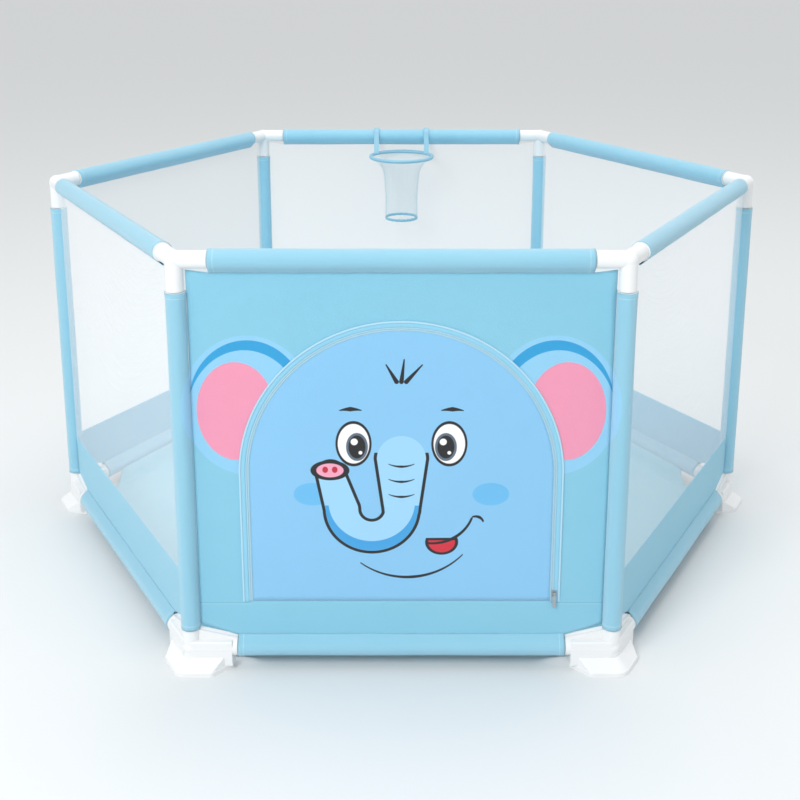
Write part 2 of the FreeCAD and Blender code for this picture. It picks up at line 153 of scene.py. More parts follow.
def smooth(value):
    """An eased step from 0 to 1."""
    t = min(1.0, max(0.0, value))
    return t * t * (3.0 - 2.0 * t)


def wander(x, y, z):
    """Smooth noise between about -1 and 1."""
    return noise.noise(Vector((x, y, z)))


def hem_rise(from_end):
    """How far a turned hem stands out, by distance from the end of its sleeve."""
    return HEM_RISE * (1.0 - smooth((from_end - HEM) / HEM_STEP))


def squared(value, power):
    """A sine or cosine raised to a power with its sign kept, which squares a round section."""
    return math.copysign(abs(value) ** power, value)


# ---------------------------------------------------------------------------
# Finishes
# ---------------------------------------------------------------------------


class Signal:
    """A value that varies over a surface; arithmetic on it adds Math nodes."""

    def __init__(self, finish, socket):
        self.finish = finish
        self.socket = socket

    def math(self, operation, *values):
        inputs = dict(enumerate((self,) + values))
        return self.finish.node("ShaderNodeMath", inputs, operation=operation)

    def __add__(self, other):
        return self.math("ADD", other)

    def __sub__(self, other):
        return self.math("SUBTRACT", other)

    def __rsub__(self, other):
        inputs = {0: other, 1: self}
        return self.finish.node("ShaderNodeMath", inputs, operation="SUBTRACT")

    def __mul__(self, other):
        return self.math("MULTIPLY", other)

    def __truediv__(self, other):
        return self.math("DIVIDE", other)

    def __gt__(self, other):
        return self.math("GREATER_THAN", other)

    def __lt__(self, other):
        return self.math("LESS_THAN", other)

    __radd__ = __add__
    __rmul__ = __mul__

    def low(self, other):
        return self.math("MINIMUM", other)

    def high(self, other):
        return self.math("MAXIMUM", other)

    def size(self):
        return self.math("ABSOLUTE")

    def sine(self):
        return self.math("SINE")

    def root(self):
        return self.math("SQRT")

    def fraction(self):
        return self.math("FRACT")

    def angle_to(self, other):
        return self.math("ARCTAN2", other)

    def clamped(self):
        return self.low(1.0).high(0.0)


class Finish:
    """A material with one Principled shader, and the nodes that feed it."""

    def __init__(self, name, **constants):
        self.material = bpy.data.materials.new(name)
        self.material.use_nodes = True
        self.tree = self.material.node_tree
        self.tree.nodes.clear()
        self.shader = self.tree.nodes.new("ShaderNodeBsdfPrincipled")
        output = self.tree.nodes.new("ShaderNodeOutputMaterial")
        self.tree.links.new(self.shader.outputs["BSDF"], output.inputs["Surface"])
        for socket, value in constants.items():
            self.shader.inputs[socket.replace("_", " ")].default_value = value

    def node(self, kind, inputs=None, output=0, **settings):
        """Add any node: its settings first, then the values or links of its sockets."""
        made = self.tree.nodes.new(kind)
        for setting, value in settings.items():
            setattr(made, setting, value)
        for socket, value in (inputs or {}).items():
            self.feed(made.inputs[socket], value)
        return Signal(self, made.outputs[output])

    def feed(self, socket, value):
        """Link a signal to a socket, or set the socket's own value."""
        if isinstance(value, Signal):
            self.tree.links.new(value.socket, socket)
        else:
            socket.default_value = value

    def set(self, socket, value):
        """Feed one of the shader's own sockets."""
        self.feed(self.shader.inputs[socket], value)

    def place(self):
        """Object coordinates as three signals."""
        coordinate = self.node("ShaderNodeTexCoord", output="Object")
        split = self.node("ShaderNodeSeparateXYZ", {0: coordinate})
        outputs = split.socket.node.outputs
        return [Signal(self, outputs[axis]) for axis in "XYZ"]

    def weave_place(self):
        """The cloth's own coordinates in metres, along and across it."""
        chart = self.node("ShaderNodeUVMap", uv_map="weave")
        split = self.node("ShaderNodeSeparateXYZ", {0: chart})
        outputs = split.socket.node.outputs
        return [Signal(self, outputs[axis]) for axis in "XY"]

    def cloud(self, scale, detail):
        """Soft noise from 0 to 1, with its scale in cycles per metre."""
        coordinate = self.node("ShaderNodeTexCoord", output="Object")
        inputs = {"Vector": coordinate, "Scale": scale, "Detail": detail}
        return self.node("ShaderNodeTexNoise", inputs, output="Fac")

    def mix(self, factor, first, second):
        """Blend two colours."""
        inputs = {0: factor, 6: rgba(first), 7: rgba(second)}
        return self.node("ShaderNodeMix", inputs, output=2, data_type="RGBA")

    def bump(self, height, distance, strength=1.0, under=None):
        """Feed the shader's normal from a height signal; returns it to be built on."""
        inputs = {"Height": height, "Distance": distance, "Strength": strength}
        if under is not None:
            inputs["Normal"] = under
        bumped = self.node("ShaderNodeBump", inputs)
        self.set("Normal", bumped)
        return bumped


def rgba(colour):
    """A hex colour as linear RGBA; signals pass through."""
    if isinstance(colour, Signal):
        return colour
    parts = [int(colour[i:i + 2], 16) / 255.0 for i in (1, 3, 5)]
    linear = [c / 12.92 if c <= 0.04045 else ((c + 0.055) / 1.055) ** 2.4 for c in parts]
    return (*linear, 1.0)


# Drawing on cloth: distances in millimetres, negative inside a shape

def disc(x, z, centre, radius):
    """Distance to a filled circle."""
    dx = x - centre[0]
    dz = z - centre[1]
    return (dx * dx + dz * dz).root() - radius


def oval(x, z, centre, radii):
    """Distance to a filled ellipse, near enough for drawing."""
    dx = (x - centre[0]) / radii[0]
    dz = (z - centre[1]) / radii[1]
    return ((dx * dx + dz * dz).root() - 1.0) * min(radii)


def arc_stroke(x, z, centre, radius, start, end, half_width, taper=0.0):
    """Distance to a brush stroke along a circle, between two angles in degrees."""
    middle_angle = math.radians((start + end) / 2.0)
    half_sweep = math.radians(abs(end - start) / 2.0)
    cosine = math.cos(middle_angle)
    sine = math.sin(middle_angle)
    dx = x - centre[0]
    dz = z - centre[1]
    along = dx * cosine + dz * sine
    across = (dz * cosine - dx * sine).size()
    angle = across.angle_to(along)
    ring = ((along * along + across * across).root() - radius).size()
    tip_x = along - radius * math.cos(half_sweep)
    tip_z = across - radius * math.sin(half_sweep)
    tip = (tip_x * tip_x + tip_z * tip_z).root()
    beyond = angle > half_sweep
    distance = ring * (1.0 - beyond) + tip * beyond
    if taper:
        return distance - (1.0 - angle * (taper / half_sweep)) * half_width
    return distance - half_width


def line_stroke(x, z, start, end, half_width, end_width):
    """Distance to a straight brush stroke with round ends that narrows as it goes."""
    run = Vector(end) - Vector(start)
    length = run.length
    unit = run / length
    dx = x - start[0]
    dz = z - start[1]
    along = dx * unit[0] + dz * unit[1]
    across = dz * unit[0] - dx * unit[1]
    held = along.low(length).high(0.0)
    gap = along - held
    distance = (gap * gap + across * across).root()
    return distance - held * ((end_width - half_width) / length) - half_width


def inked(distance):
    """A soft-edged mask, 1 inside the shape."""
    return (0.5 - distance / INK_EDGE).clamped()


def woven(finish, under):
    """Bump of a plain weave on the cloth's own coordinates, over a softer bump."""
    along, across = finish.weave_place()
    warp = (along * (math.tau / WEAVE_PITCH)).sine()
    weft = (across * (math.tau / WEAVE_PITCH)).sine()
    finish.bump(warp * weft, WEAVE_DEPTH, under=under)


def stitched(position, line, along):
    """Mask of a row of stitches at one distance across the cloth."""
    near = (position - line).size() < STITCH_HALF_WIDTH
    dash = (along / STITCH_PITCH).fraction() < STITCH_SHARE
    return near * dash


def cloth_finish(name, colour, light, dark, roughness=0.55, sheen=0.35):
    """A satin-faced polyester cloth with soft shade changes and a fine weave."""
    finish = Finish(name, Roughness=roughness, Sheen_Weight=sheen, Sheen_Roughness=0.4)
    drift = finish.cloud(5.0, 3.0)
    mottled = finish.cloud(60.0, 2.0)
    base = finish.mix(drift, dark, light)
    base = finish.mix(mottled * 0.35 + 0.4, base, colour)
    soft = finish.bump(finish.cloud(28.0, 3.0), 0.0016)
    woven(finish, soft)
    return finish, base


def plain_cloth(name, colour, light, dark, **options):
    """A cloth with nothing drawn on it."""
    finish, base = cloth_finish(name, colour, light, dark, **options)
    finish.set("Base Color", base)
    return finish.material


SLEEVE_BLUE = "#94cfe6"
SLEEVE_LIGHT = "#a2d8ed"
SLEEVE_DARK = "#86c6e0"
FRONT_BLUE = "#8acde6"
DOOR_BLUE = "#8ccbf4"
EAR_BLUE = "#94d3f5"
EAR_RIM = "#27a3dd"
EAR_PINK = "#f59cba"
INK = "#15151a"
INK_EDGE = 0.7
HEM_THREAD = "#d6eef8"
FRONT_THREAD = "#c4e6f2"
# Painted shade: the darker blue of the shadow in the front panel's seam crease
CREASE_SHADE_BLUE = "#5fa9c4"


def sleeve_cloth(name, half_length, ears=False):
    """Sleeve cloth: stitched hems at both ends, and the ears' tips on the front posts."""
    finish, base = cloth_finish(name, SLEEVE_BLUE, SLEEVE_LIGHT, SLEEVE_DARK, sheen=0.5,
                                roughness=0.45)
    along, around = finish.weave_place()
    hem = stitched(along.size(), half_length - HEM, around)
    base = finish.mix(hem * 0.8, base, HEM_THREAD)
    if ears:
        base = ear_paint(finish, base, front_only=True)
    finish.set("Base Color", base)
    return finish.material


def ear_paint(finish, base, front_only=False):
    """The printed ears, left and right alike, in front-view millimetres."""
    x, y, z = finish.place()
    x = x.size() * MILLIMETRES
    z = z * MILLIMETRES
    centre = (222.0, 424.0)
    ear = oval(x, z, centre, (95.0, 108.0))
    rim = oval(x, z, centre, (86.0, 101.0))
    below_rim = oval(x, z, (226.0, 402.0), (86.0, 108.0))
    rim_foot = 446.0
    rim = rim.high(below_rim * -1.0).high(rim_foot - z)
    inner = oval(x, z, (240.0, 416.0), (57.0, 76.0))
    keep = 1.0
    if front_only:
        keep = y < -apothem
    base = finish.mix(inked(ear) * keep, base, EAR_BLUE)
    base = finish.mix(inked(rim) * keep, base, EAR_RIM)
    return finish.mix(inked(inner) * keep, base, EAR_PINK)


def front_cloth_finish():
    """The front panel's cloth with the printed ears, a stitched seam line and a painted shade line
    in the seam's crease.
    """
    finish, base = cloth_finish("front_cloth", FRONT_BLUE, "#94d2ea", "#82c8e2")
    base = ear_paint(finish, base)
    x, _, z = finish.place()
    beside_door = x.size() > door_radius
    crease_shade_height = door_bottom - 0.0030
    thread_height = door_bottom - 0.0052
    # A thin darker line beside the door along the seam: painted shade of the seam's fold, not a
    # colour of the cloth
    crease = (z - crease_shade_height).size() < 0.0006
    thread = stitched(z, thread_height, x)
    base = finish.mix(crease * beside_door * 0.5, base, CREASE_SHADE_BLUE)
    base = finish.mix(thread * beside_door * 0.7, base, FRONT_THREAD)
    finish.set("Base Color", base)
    return finish.material


def door_finish():
    """The door's cloth, printed with a plain elephant's face."""
    finish, base = cloth_finish("door_cloth", DOOR_BLUE, "#93cff6", "#86c6f1")
    x, _, z = finish.place()
    x = x * MILLIMETRES
    z = z * MILLIMETRES

    def draw(colour, distance):
        nonlocal base
        base = finish.mix(inked(distance), base, colour)

    shade = "#3fa6e6"
    light = "#a3dafb"
    line = 2.4

    # Chin, cheeks and mouth
    draw(INK, arc_stroke(x, z, (8.0, 262.0), 112.0, 232.0, 318.0, line, 0.6))
    for cheek in (-132.0, 132.0):
        draw("#6cc0f2", oval(x, z, (cheek, 286.0), (27.0, 18.0)))
    tongue_top = 211.0
    tongue = oval(x, z, (60.0, 208.0), (20.0, 17.0)).high(z - tongue_top)
    draw(INK, tongue - 4.0)
    draw("#d9253b", tongue)
    draw(INK, arc_stroke(x, z, (46.0, 268.0), 62.0, 262.0, 340.0, line, 0.3))
    draw(INK, arc_stroke(x, z, (110.0, 238.0), 12.0, 20.0, 110.0, line, 0.4))

    # Trunk, curled up at its left end
    root = line_stroke(x, z, (0.0, 342.0), (0.0, 262.0), 36.0, 25.0)
    bend = arc_stroke(x, z, (-44.0, 262.0), 44.0, -180.0, 0.0, 24.0)
    tip = line_stroke(x, z, (-88.0, 262.0), (-104.0, 318.0), 24.0, 19.0)
    trunk = root.low(bend).low(tip)
    line_top = 352.0
    draw(INK, (trunk - 2.0 * line).high(z - line_top))
    draw(light, trunk)
    under = arc_stroke(x, z, (-44.0, 274.0), 41.0, -190.0, 10.0, 23.0)
    shade_top = 268.0
    draw(shade, trunk.high(under * -1.0).high(z - shade_top))
    crease_radius = 46.0
    for crease in (330.0, 306.0, 282.0):
        centre = (0.0, crease + crease_radius)
        draw(INK, arc_stroke(x, z, centre, crease_radius, 246.0, 294.0, 1.9, 0.7))
    snout = oval(x, z, (-105.0, 324.0), (20.0, 11.0))
    draw(INK, snout - 2.0 * line)
    draw("#f7a9c4", snout)
    for nostril in (-112.0, -98.0):
        draw("#c81f3c", oval(x, z, (nostril, 325.0), (4.2, 5.0)))

    # Eyes and brows
    for mirror in (-1.0, 1.0):
        eye = (70.0 * mirror, 366.0)
        white = oval(x, z, eye, (23.0, 31.0))
        draw(INK, white - 3.4)
        draw("#ffffff", white)
        pupil = (eye[0] - 5.0 * mirror, eye[1] - 5.0)
        draw("#5f6f80", oval(x, z, pupil, (16.0, 22.0)))
        draw(INK, oval(x, z, pupil, (12.5, 18.0)))
        draw("#ffffff", disc(x, z, (pupil[0] - 4.0, pupil[1] + 8.0), 5.2))
        draw("#ffffff", disc(x, z, (pupil[0] + 5.0, pupil[1] - 9.0), 2.8))
        brow = (eye[0] + 4.0 * mirror, eye[1] - 12.0)
        draw(INK, arc_stroke(x, z, brow, 66.0, 76.0, 104.0, 3.6, 0.8))

    # Three hairs
    for lean in (-1.0, 0.0, 1.0):
        foot = (7.0 * lean, 462.0)
        end = (26.0 * lean + 4.0, 496.0 - 8.0 * abs(lean))
        draw(INK, line_stroke(x, z, foot, end, 3.4, 1.0))
    finish.set("Base Color", base)
    return finish.material


def netting(name, pitch, thread, colour):
    """Netting: threads cross on the bias and take up a share of each pitch; the rest is open."""
    finish = Finish(name, Roughness=0.6, Sheen_Weight=0.2)
    along, across = finish.weave_place()
    one = ((along + across) / pitch).fraction() - 0.5
    two = ((along - across) / pitch).fraction() - 0.5
    threads = (one.size() < thread / 2.0).high(two.size() < thread / 2.0)
    finish.set("Alpha", threads)
    finish.set("Base Color", rgba(colour))
    return finish.material


def moulded_plastic(name, colour, roughness=0.34):
    """Injection-moulded plastic: faint ripple and a slightly uneven gloss."""
    finish = Finish(name, Specular_IOR_Level=0.5)
    ripple = finish.cloud(140.0, 3.0)
    patches = finish.cloud(18.0, 2.0)
    finish.set("Base Color", finish.mix(patches * 0.12, colour, "#e9ecee"))
    finish.set("Roughness", patches * 0.12 + (roughness - 0.06))
    finish.bump(ripple, 0.00025, 0.5)
    return finish.material


def metal(name, colour, roughness):
    """Plated metal with fine handling marks."""
    finish = Finish(name, Metallic=1.0)
    marks = finish.cloud(900.0, 3.0)
    finish.set("Base Color", finish.mix(marks * 0.3, colour, "#8d9196"))
    finish.set("Roughness", marks * 0.15 + roughness)
    finish.bump(marks, 0.00005, 0.5)
    return finish.material


def zip_finish():
    """Woven zip tape with moulded coil teeth that repeat along it."""
    finish, base = cloth_finish("zip_tape_blue", "#a9d9ee", "#b4dff2", "#9ccfe6")
    along, across = finish.weave_place()
    tooth_pitch = 0.0016
    teeth_half_width = 0.0016
    coil = (along * (math.tau / tooth_pitch)).sine()
    teeth = across < teeth_half_width
    base = finish.mix(teeth * 0.75, base, "#86b6cc")
    base = finish.mix(teeth * (coil > 0.2) * 0.8, base, "#c4e0ec")
    finish.set("Base Color", base)
    return finish.material


# ---------------------------------------------------------------------------
# Making pieces
# ---------------------------------------------------------------------------


def cloth_grid(columns, rows, place, chart):
    """A grid of cloth put in place by place(u, v), with its own map in metres from chart(u, v)."""
    bm = bmesh.new()
    bmesh.ops.create_grid(bm, x_segments=columns, y_segments=rows, size=0.5)
    weave = bm.loops.layers.uv.new("weave")
    for face in bm.faces:
        for loop in face.loops:
            loop[weave].uv = chart(loop.vert.co.x + 0.5, loop.vert.co.y + 0.5)
    for vert in bm.verts:
        vert.co = place(vert.co.x + 0.5, vert.co.y + 0.5)
    return bm


def finished(name, bm, material, place=None, body="frame", close=0.0):
    """Turn a bmesh into a named piece in its place, riding on a body."""
    if close:
        bmesh.ops.remove_doubles(bm, verts=bm.verts, dist=close)
    if place is not None:
        bm.transform(place)
    mesh = bpy.data.meshes.new(name)
    bm.to_mesh(mesh)
    bm.free()
    mesh.shade_smooth()
    piece = bpy.data.objects.new(name, mesh)
    bpy.context.scene.collection.objects.link(piece)
    mesh.materials.append(material)
    if body:
        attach(piece, body)
    return piece


def thickened(piece, offset=-1.0, lining=None):
    """Give a sheet the cloth's thickness, and its back a finish of its own if it has one."""
    wall = piece.modifiers.new("thickness", "SOLIDIFY")
    wall.thickness = CLOTH
    wall.offset = offset
    if lining is not None:
        piece.data.materials.append(lining)
        wall.material_offset = 1


# ---------------------------------------------------------------------------
# Sleeves
# ---------------------------------------------------------------------------


def make_post_cover(corner):
    """The padded fabric cover of one post, with turned hems and slight folds."""
    height = post_sleeve_high - post_sleeve_low
    around = math.tau * post_radius
    seed = CORNERS[corner] * 0.013

    def place(u, v):
        angle = math.tau * u
        z = post_sleeve_low + height * v
        from_end = min(v, 1.0 - v) * height
        gather = 0.0004 * math.exp(-from_end / 0.02) * math.sin(angle * 9.0 + seed)
        fold = 0.00045 * wander(math.cos(angle) * 1.6 + seed, math.sin(angle) * 1.6, z * 14.0)
        radius = post_radius - HEM_RISE + hem_rise(from_end) + gather + fold
        return Vector((radius * math.cos(angle), radius * math.sin(angle), z))

    def chart(u, v):
        return ((v - 0.5) * height, u * around)

    ears = corner in ("front_left", "front_right")
    material = POST_PRINTED if ears else POST_CLOTH
    bm = cloth_grid(40, 90, place, chart)
    piece = finished("post_cover_" + corner, bm, material,
                     corner_place(corner), close=1e-6)
    thickened(piece)
    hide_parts("post_sleeve_" + corner)


def teardrop_point(u, radius):
    """A sleeve's section: seam, round the rail, back to the seam; seam below the rail."""
    seam_half = 0.0002
    reach = math.hypot(seam_half, seam_depth)
    tangent = math.atan2(-seam_depth, seam_half) + math.acos(radius / reach)
    straight = math.sqrt(reach * reach - radius * radius)
    curved = radius * (math.pi - 2.0 * tangent)
    travelled = u * (2.0 * straight + curved)
    touch = Vector((radius * math.cos(tangent), radius * math.sin(tangent)))
    seam = Vector((seam_half, -seam_depth))
    if travelled < straight:
        return seam.lerp(touch, travelled / straight)
    if travelled > straight + curved:
        end = (travelled - straight - curved) / straight
        mirrored_touch = Vector((-touch.x, touch.y))
        return mirrored_touch.lerp(Vector((-seam.x, seam.y)), end)
    angle = tangent + (travelled - straight) / radius
    return Vector((radius * math.cos(angle), radius * math.sin(angle)))


def make_rail_cover(name, side, half_length, height, upturned, material):
    """The fabric that wraps a rail and comes together in a gathered seam."""
    radius = rail_radius - 0.0004
    around = math.tau * radius + RAIL_SEAM
    seed = SIDES[side] * 0.017 + (3.0 if upturned else 0.0)
    flip = -1.0 if upturned else 1.0

    def place(u, v):
        x = (v - 0.5) * 2.0 * half_length
        section = teardrop_point(u, radius)
        outward = section.normalized()
        seam_near = math.exp(-min(u, 1.0 - u) / 0.10)
        from_end = half_length - abs(x)
        pucker = 0.0007 * seam_near * wander(x * 55.0 + seed, u * 3.0, seed)
        fold = 0.0005 * wander(x * 11.0 + seed, u * 5.0, seed)
        section = section + outward * (hem_rise(from_end) + fold)
        return Vector((x, flip * section.x + pucker, height + flip * section.y))

    def chart(u, v):
        return ((v - 0.5) * 2.0 * half_length, (u - 0.5) * around)

    bm = cloth_grid(40, 120, place, chart)
    piece = finished(name, bm, material, side_place(side))
    thickened(piece)
    return piece


# ---------------------------------------------------------------------------
# Side panels
# ---------------------------------------------------------------------------


def panel_edge(z):
    """Half the width of a side panel at a height: cut in at the top and bottom corners."""
    if z > post_sleeve_high:
        rise = (z - post_sleeve_high) / (PANEL_CORNER_TOP - post_sleeve_high)
        return panel_half + (PANEL_CORNER_HALF - panel_half) * rise
    if z < SKIRT_CORNER_HEIGHT:
        rise = (z - skirt_seam) / (SKIRT_CORNER_HEIGHT - skirt_seam)
        return SKIRT_SLEEVE_HALF + (panel_half - SKIRT_SLEEVE_HALF) * max(0.0, rise)
    return panel_half


def make_net_panel(side):
    """White netting, held at its edges and slightly slack between."""
    seed = SIDES[side]

    def place(u, v):
        z = skirt_top - SEAM_LAP + (panel_top - skirt_top + SEAM_LAP) * v
        x = (2.0 * u - 1.0) * panel_edge(z)
        slack = smooth(4.0 * min(u, 1.0 - u)) * smooth(5.0 * min(v, 1.0 - v))
        y = 0.0022 * slack * wander(x * 3.0 + seed, z * 3.0, seed)
        beyond_sleeve = (abs(x) - rail_sleeve_half) / (PANEL_CORNER_HALF - rail_sleeve_half)
        lift = (PANEL_CORNER_TOP - panel_top) * max(0.0, beyond_sleeve) * smooth(6.0 * v - 5.0)
        return Vector((x, y, z + lift))

    def chart(u, v):
        z = skirt_top + (panel_top - skirt_top) * v
        return ((2.0 * u - 1.0) * panel_edge(z), z)

    bm = cloth_grid(64, 48, place, chart)
    piece = finished("net_panel_" + side, bm, NETTING, side_place(side))
    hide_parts("mesh_panel_" + side)


def make_skirt(side):
    """The solid band below the netting, with a bound top edge."""
    seed = SIDES[side] + 7.0
    low = skirt_seam - SEAM_LAP

    def place(u, v):
        z = low + (skirt_top - low) * v
        x = (2.0 * u - 1.0) * panel_edge(z)
        slack = smooth(6.0 * min(u, 1.0 - u)) * smooth(4.0 * min(v, 1.0 - v))
        y = 0.0016 * slack * wander(x * 7.0 + seed, z * 9.0, seed)
        pucker = 0.0005 * math.exp(-v / 0.08) * wander(x * 60.0, seed, 0.0)
        return Vector((x, y + pucker, z))

    def chart(u, v):
        z = low + (skirt_top - low) * v
        return ((2.0 * u - 1.0) * panel_edge(z), z)

    bm = cloth_grid(90, 22, place, chart)
    piece = finished("skirt_band_" + side, bm, SKIRT_CLOTH, side_place(side))
    thickened(piece, 0.0)
    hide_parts("skirt_" + side)
    make_binding(side)


def make_binding(side):
    """The tape folded over the skirt's top edge: a flat strip with rounded long edges."""
    middle_height = skirt_top - 0.003

    def place(u, v):
        x = (2.0 * v - 1.0) * panel_half
        angle = math.tau * u
        ripple = 0.00025 * wander(x * 40.0, SIDES[side], 0.0)
        y = 0.0009 * squared(math.cos(angle), 0.4)
        dz = BINDING / 2.0 * squared(math.sin(angle), 0.7)
        return Vector((x, y + ripple, middle_height + dz))

    def chart(u, v):
        return ((2.0 * v - 1.0) * panel_half, u * 2.0 * BINDING)

    bm = cloth_grid(24, 80, place, chart)
    return finished("skirt_binding_" + side, bm, SKIRT_CLOTH,
                    side_place(side), close=1e-7)


# ---------------------------------------------------------------------------
# Front panel, door and zip
# ---------------------------------------------------------------------------


def arch_reach(angle, radius, bottom):
    """How far the arch's edge lies from its centre in one direction."""
    sine = math.sin(angle)
    cosine = math.cos(angle)
    if sine >= 0.0:
        return radius
    reach = (bottom - arch_height) / sine
    if abs(cosine) > 1e-6:
        reach = min(reach, radius / abs(cosine))
    return reach


def outline_reach(angle):
    """How far the front panel's outline lies from the arch's centre in one direction."""
    direction = Vector((math.cos(angle), math.sin(angle)))
    outline = PANEL_OUTLINE + [(-x, z) for x, z in reversed(PANEL_OUTLINE)]
    reach = 10.0
    for start, end in zip(outline, outline[1:] + outline[:1]):
        a = Vector((start[0], start[1] - arch_height))
        edge = Vector((end[0] - start[0], end[1] - start[1]))
        crossing = direction.x * edge.y - direction.y * edge.x
        if abs(crossing) < 1e-12:
            continue
        distance = (a.x * edge.y - a.y * edge.x) / crossing
        share = (a.x * direction.y - a.y * direction.x) / crossing
        if distance > 0.0 and -1e-6 <= share <= 1.0 + 1e-6:
            reach = min(reach, distance)
    return reach


def arch_angles(count):
    """Directions from the arch's centre, with one through every corner of both outlines."""
    exact = []
    for x, z in PANEL_OUTLINE + [(ZIP_OUTER, door_bottom)]:
        angle = math.atan2(z - arch_height, x)
        exact += [angle, math.pi - angle if angle > 0 else -math.pi - angle]
    start = -math.pi / 2.0
    spaced = [start + math.tau * i / count for i in range(count)]
    wrapped = [(a - start) % math.tau + start for a in exact]
    kept = [a for a in spaced if min(abs(a - w) for w in wrapped) > 0.4 * math.tau / count]
    angles = sorted(kept + wrapped)
    return angles + [angles[0] + math.tau]


def make_front_cloth(trims):
    """The front panel's cloth, taut between the rails and posts, with the arched doorway."""
    angles = arch_angles(220)
    columns = len(angles) - 1
    rows = 16

    def spot(u, v):
        angle = angles[round(u * columns)]
        inner = arch_reach(angle, ZIP_OUTER, door_bottom - 0.0008)
        outer = outline_reach(angle)
        reach = inner + (outer - inner) * v
        return math.cos(angle) * reach, arch_height + math.sin(angle) * reach

    def place(u, v):
        x, z = spot(u, v)
        slack = smooth(3.0 * min(v, 1.0 - v))
        y = 0.0016 * slack * wander(x * 7.0, z * 7.0, 4.0)
        pucker = 0.0004 * math.exp(-(1.0 - v) / 0.08) * wander(x * 60.0, z * 60.0, 1.0)
        return Vector((x, y + pucker, z))

    bm = cloth_grid(columns, rows, place, spot)
    bmesh.ops.reverse_faces(bm, faces=bm.faces)
    piece = finished("front_cloth", bm, front_cloth_finish(),
                     side_place("front"), close=1e-6)
    thickened(piece, 0.0, SKIRT_CLOTH)
    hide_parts("front_panel")
    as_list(trims)


def door_spot(u, v, radius):
    """A point of the arched door: u across, v up."""
    top = arch_height + radius
    z = door_bottom + (top - door_bottom) * v
    half = radius
    if z > arch_height:
        half = math.sqrt(max(0.0, radius ** 2 - (z - arch_height) ** 2))
    return (2.0 * u - 1.0) * half, z


def bent_at_sill(piece):
    """Bake the placement of a piece of the door into its mesh."""
    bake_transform(piece)


def make_door(zip_half):
    """The door's cloth: flat at its zip, slightly full in the middle."""
    radius = door_radius - 0.0004

    def eased(v):
        return 1.0 - (1.0 - v) ** 1.6 if v > 0.0 else 0.0

    def spot(u, v):
        return door_spot(u, eased(v), radius)

    def place(u, v):
        x, z = spot(u, v)
        slack = smooth(5.0 * min(u, 1.0 - u)) * smooth(4.0 * min(v, 1.0 - v))
        y = slack * (0.0014 * wander(x * 6.0 + 3.0, z * 6.0, 9.0) - 0.0010)
        return Vector((x, y, z))

    bm = cloth_grid(72, 84, place, spot)
    piece = finished("door_cloth", bm, door_finish(), side_place("front"),
                     body=None, close=1e-6)
    bent_at_sill(piece)
    lining = plain_cloth("door_lining", "#9bd3f3", "#a3d8f5", "#93cdf0")
    thickened(piece, 0.0, lining)
    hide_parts("door_flap")


def arch_path(travel, radius, bottom):
    """A point on the arch and the outward direction there, by distance from the left foot."""
    leg = arch_height - bottom
    curve = math.pi * radius
    if travel < leg:
        return Vector((-radius, 0.0, bottom + travel)), Vector((-1.0, 0.0, 0.0))
    if travel > leg + curve:
        return (Vector((radius, 0.0, arch_height - (travel - leg - curve))),
                Vector((1.0, 0.0, 0.0)))
    angle = math.pi - (travel - leg) / radius
    outward = Vector((math.cos(angle), 0.0, math.sin(angle)))
    return Vector((0.0, 0.0, arch_height)) + outward * radius, outward


def make_arch_strip(name, material, body, bottom, radius, half_width, half_depth,
                    forward):
    """A rounded strip that follows the arch, with its map running along it."""
    length = 2.0 * (arch_height - bottom) + math.pi * radius

    def place(u, v):
        centre, outward = arch_path(v * length, radius, bottom)
        angle = math.tau * u
        across = half_width * squared(math.cos(angle), 0.6)
        depth = half_depth * squared(math.sin(angle), 0.8)
        return centre + outward * across + Vector((0.0, depth - forward, 0.0))

    def chart(u, v):
        return (v * length, abs(u - 0.5) * 4.0 * half_width)

    bm = cloth_grid(16, 260, place, chart)
    bmesh.ops.recalc_face_normals(bm, faces=bm.faces)
    return finished(name, bm, material, side_place("front"), body=body, close=1e-7)


def make_zip():
    """Both halves of the zip, the tape that holds it and the piping round that."""
    zip_cloth = zip_finish()
    low = door_bottom + 0.001
    fixed = make_arch_strip("zip_fixed_half", zip_cloth, "frame", low,
                            radius=door_radius + 0.0017, half_width=0.0015,
                            half_depth=0.0010, forward=0.0001)
    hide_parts("zip_tape")
    moving = make_arch_strip("zip_door_half", zip_cloth, None, low,
                             radius=door_radius - 0.0012, half_width=0.0014,
                             half_depth=0.0010, forward=0.0002)
    bent_at_sill(moving)
    tape_cloth = plain_cloth("zip_tape_cloth", "#8fd0ec", "#97d5ef", "#86c8e6")
    tape = make_arch_strip("zip_border", tape_cloth, "frame", door_bottom,
                           radius=door_radius + 0.0066, half_width=0.0035,
                           half_depth=0.0008, forward=0.0008)
    piping_cloth = plain_cloth("piping_cloth", "#b5def1", "#bfe4f5", "#a8d6ec")
    piping = make_arch_strip("zip_piping", piping_cloth, "frame", door_bottom,
                             radius=door_radius + 0.0112, half_width=0.0015,
                             half_depth=0.0013, forward=0.0012)
    return [fixed, tape, piping], moving


# ---------------------------------------------------------------------------
# Floor mat, hoop net
# ---------------------------------------------------------------------------


